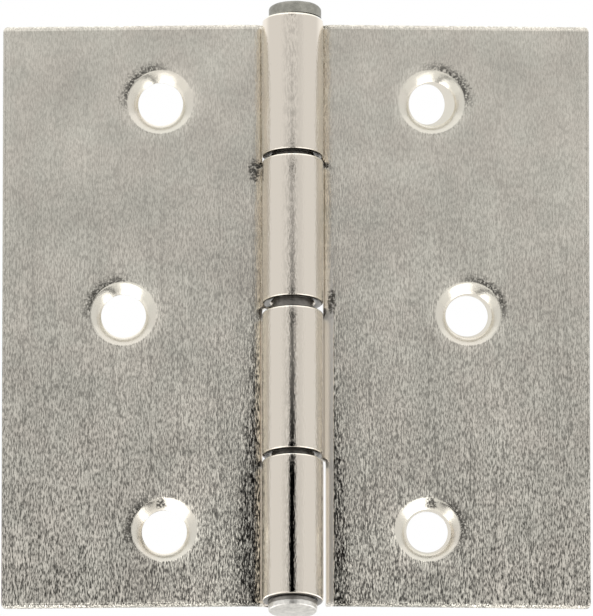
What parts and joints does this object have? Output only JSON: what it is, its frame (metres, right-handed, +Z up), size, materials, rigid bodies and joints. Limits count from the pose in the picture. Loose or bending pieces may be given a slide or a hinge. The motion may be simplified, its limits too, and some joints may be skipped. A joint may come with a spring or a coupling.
{
  "type": "square butt hinge",
  "caption": "Square steel butt hinge with two rolled leaves, countersunk screw holes and a peened pin, nickel plated.",
  "frame": {"origin": "on the pin's axis, half way up the leaves; the bounding box's centre to within half a millimetre", "axes": "+Z up the pin, +X towards the right leaf's outer edge, -Y out of the countersunk faces, +Y towards the surface that the leaves are screwed to"},
  "size_m": [0.0591, 0.0062, 0.0637],
  "materials": {
    "leaf_nickel": "satin nickel plate",
    "pin_steel": "dull nickel plate"
  },
  "bodies": {
    "left": {"left_leaf": "leaf_nickel", "hinge_pin": "pin_steel"},
    "right": {"right_leaf": "leaf_nickel"}
  },
  "joints": [
    {"name": "leaf_swing", "type": "hinge", "parent": "left", "child": "right", "pos_m": [0, 0, 0], "axis": [0, 0, 1], "range_deg": [-187, 108]}
  ]
}
